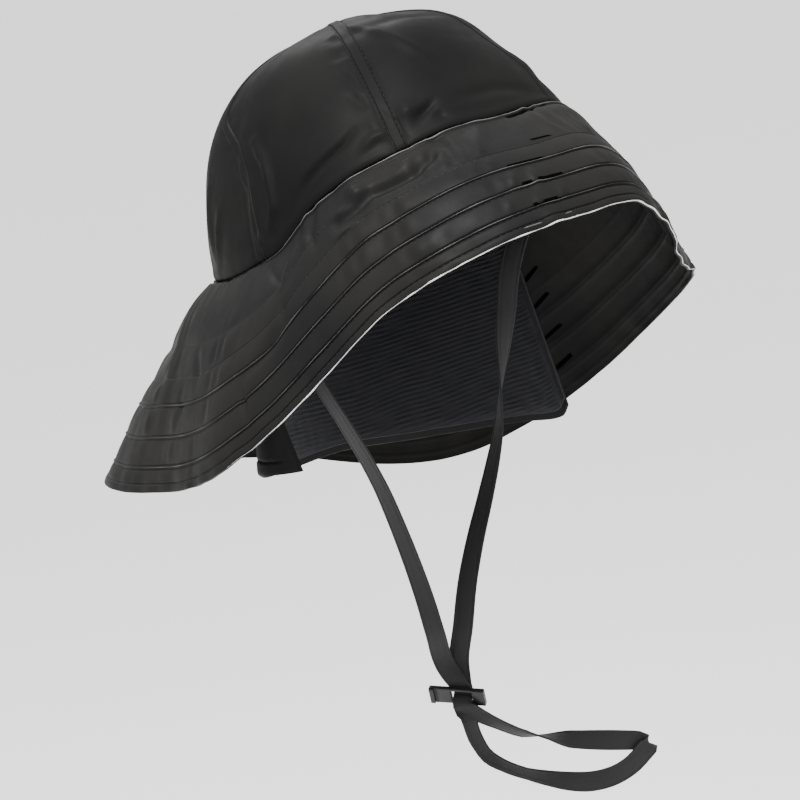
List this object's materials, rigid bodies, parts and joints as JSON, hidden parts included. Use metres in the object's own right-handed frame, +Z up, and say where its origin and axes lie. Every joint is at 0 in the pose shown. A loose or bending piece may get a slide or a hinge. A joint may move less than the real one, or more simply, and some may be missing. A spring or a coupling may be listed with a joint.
{
  "type": "rain hat with an ear and neck flap and a chin strap",
  "caption": "Soft rain hat with a gored crown, a stitched brim that is longer behind, a lined ear and neck flap, and a tape chin strap with a slider.",
  "frame": {"origin": "middle of the head opening, in the plane of the seam between crown and brim, where the hat sits on a head", "axes": "+Z up, -Y the way the wearer faces, +X the wearer's left; the seam plane is tipped back 23 degrees about X, front up, and the strap hangs plumb"},
  "size_m": [0.2833, 0.3011, 0.3956],
  "materials": {
    "crown_cloth": "black coated cloth, half gloss",
    "brim_cloth": "black coated cloth, half gloss, stitched in rows",
    "knit_lining": "black ribbed knit, matt",
    "strap_tape": "dark grey woven tape, matt",
    "slider_plastic": "dark grey moulded plastic, satin"
  },
  "bodies": {
    "root": {"crown_gore_front": "crown_cloth", "crown_gore_front_left": "crown_cloth", "crown_gore_back_left": "crown_cloth", "crown_gore_back": "crown_cloth", "crown_gore_back_right": "crown_cloth", "crown_gore_front_right": "crown_cloth", "brim": "brim_cloth", "ear_flap_shell": "brim_cloth", "ear_flap_lining": "knit_lining", "chin_strap": "strap_tape", "strap_slider": "slider_plastic"}
  },
  "joints": []
}
